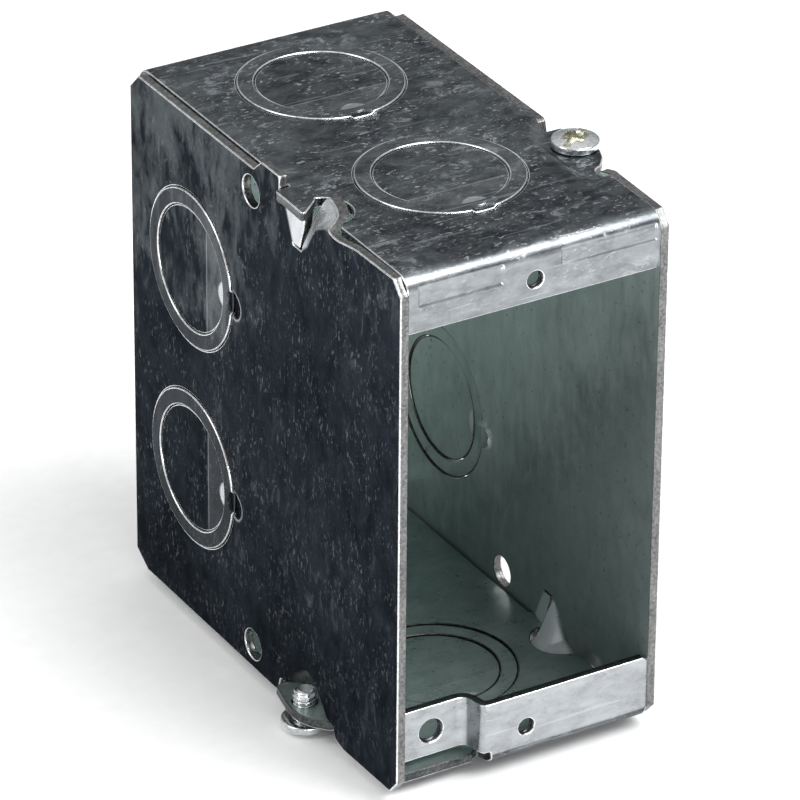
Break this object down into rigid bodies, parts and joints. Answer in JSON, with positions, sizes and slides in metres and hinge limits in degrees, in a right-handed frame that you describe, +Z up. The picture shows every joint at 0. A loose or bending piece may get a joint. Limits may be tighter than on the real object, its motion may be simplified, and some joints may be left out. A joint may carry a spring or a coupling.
{
  "type": "electrical junction box",
  "caption": "Open-front sheet-steel electrical box for a wiring device, with removable side plates, side screws, front flanges, a grounding tab and bend-out knockouts.",
  "frame": {"origin": "centre of the outer face of the back wall", "axes": "+Z up along the height; +Y out of the back wall, so the open front faces -Y; +X to the right seen from the front"},
  "size_m": [0.059, 0.0889, 0.0994],
  "materials": {
    "wrap_steel": "galvanised, satin with scuffs",
    "plate_steel": "galvanised, semi-bright",
    "knockout_steel": "galvanised, satin",
    "screw_zinc": "bright zinc plate"
  },
  "bodies": {
    "box": {"body": "wrap_steel", "left_side_plate": "plate_steel", "right_side_plate": "plate_steel"},
    "top_screw": {"top_gang_screw": "screw_zinc"},
    "bottom_screw": {"bottom_gang_screw": "screw_zinc"},
    "top_front_ring": {"top_front_ring": "knockout_steel"},
    "top_front_disc": {"top_front_disc": "knockout_steel"},
    "top_rear_ring": {"top_rear_ring": "knockout_steel"},
    "top_rear_disc": {"top_rear_disc": "knockout_steel"},
    "bottom_front_ring": {"bottom_front_ring": "knockout_steel"},
    "bottom_front_disc": {"bottom_front_disc": "knockout_steel"},
    "bottom_rear_ring": {"bottom_rear_ring": "knockout_steel"},
    "bottom_rear_disc": {"bottom_rear_disc": "knockout_steel"},
    "left_upper_ring": {"left_upper_ring": "knockout_steel"},
    "left_upper_disc": {"left_upper_disc": "knockout_steel"},
    "left_lower_ring": {"left_lower_ring": "knockout_steel"},
    "left_lower_disc": {"left_lower_disc": "knockout_steel"},
    "right_upper_ring": {"right_upper_ring": "knockout_steel"},
    "right_upper_disc": {"right_upper_disc": "knockout_steel"},
    "right_lower_ring": {"right_lower_ring": "knockout_steel"},
    "right_lower_disc": {"right_lower_disc": "knockout_steel"}
  },
  "joints": [
    {"name": "top_screw_turn", "type": "hinge", "parent": "box", "child": "top_screw", "pos_m": [0.0254, -0.0594, 0.045], "axis": [0, 0, 1], "continuous": true},
    {"name": "bottom_screw_turn", "type": "hinge", "parent": "box", "child": "bottom_screw", "pos_m": [-0.0254, -0.0594, -0.045], "axis": [0, 0, -1], "continuous": true},
    {"name": "top_front_ring_bend", "type": "hinge", "parent": "box", "child": "top_front_ring", "pos_m": [0, -0.045, 0.04603], "axis": [1, 0, 0], "range_deg": [0, 27]},
    {"name": "top_front_disc_bend", "type": "hinge", "parent": "top_front_ring", "child": "top_front_disc", "pos_m": [0, -0.048, 0.04603], "axis": [1, 0, 0], "range_deg": [0, 27]},
    {"name": "top_rear_ring_bend", "type": "hinge", "parent": "box", "child": "top_rear_ring", "pos_m": [0, -0.0062, 0.04603], "axis": [1, 0, 0], "range_deg": [0, 27]},
    {"name": "top_rear_disc_bend", "type": "hinge", "parent": "top_rear_ring", "child": "top_rear_disc", "pos_m": [0, -0.0092, 0.04603], "axis": [1, 0, 0], "range_deg": [0, 27]},
    {"name": "bottom_front_ring_bend", "type": "hinge", "parent": "box", "child": "bottom_front_ring", "pos_m": [0, -0.045, -0.04603], "axis": [-1, 0, 0], "range_deg": [0, 27]},
    {"name": "bottom_front_disc_bend", "type": "hinge", "parent": "bottom_front_ring", "child": "bottom_front_disc", "pos_m": [0, -0.048, -0.04603], "axis": [-1, 0, 0], "range_deg": [0, 27]},
    {"name": "bottom_rear_ring_bend", "type": "hinge", "parent": "box", "child": "bottom_rear_ring", "pos_m": [0, -0.0062, -0.04603], "axis": [-1, 0, 0], "range_deg": [0, 27]},
    {"name": "bottom_rear_disc_bend", "type": "hinge", "parent": "bottom_rear_ring", "child": "bottom_rear_disc", "pos_m": [0, -0.0092, -0.04603], "axis": [-1, 0, 0], "range_deg": [0, 27]},
    {"name": "left_upper_ring_bend", "type": "hinge", "parent": "box", "child": "left_upper_ring", "pos_m": [-0.0238, -0.0066, 0.01905], "axis": [0, 0, 1], "range_deg": [0, 27]},
    {"name": "left_upper_disc_bend", "type": "hinge", "parent": "left_upper_ring", "child": "left_upper_disc", "pos_m": [-0.0238, -0.0096, 0.01905], "axis": [0, 0, 1], "range_deg": [0, 27]},
    {"name": "left_lower_ring_bend", "type": "hinge", "parent": "box", "child": "left_lower_ring", "pos_m": [-0.0238, -0.0066, -0.01905], "axis": [0, 0, 1], "range_deg": [0, 27]},
    {"name": "left_lower_disc_bend", "type": "hinge", "parent": "left_lower_ring", "child": "left_lower_disc", "pos_m": [-0.0238, -0.0096, -0.01905], "axis": [0, 0, 1], "range_deg": [0, 27]},
    {"name": "right_upper_ring_bend", "type": "hinge", "parent": "box", "child": "right_upper_ring", "pos_m": [0.0238, -0.0066, 0.01905], "axis": [0, 0, -1], "range_deg": [0, 27]},
    {"name": "right_upper_disc_bend", "type": "hinge", "parent": "right_upper_ring", "child": "right_upper_disc", "pos_m": [0.0238, -0.0096, 0.01905], "axis": [0, 0, -1], "range_deg": [0, 27]},
    {"name": "right_lower_ring_bend", "type": "hinge", "parent": "box", "child": "right_lower_ring", "pos_m": [0.0238, -0.0066, -0.01905], "axis": [0, 0, -1], "range_deg": [0, 27]},
    {"name": "right_lower_disc_bend", "type": "hinge", "parent": "right_lower_ring", "child": "right_lower_disc", "pos_m": [0.0238, -0.0096, -0.01905], "axis": [0, 0, -1], "range_deg": [0, 27]}
  ]
}
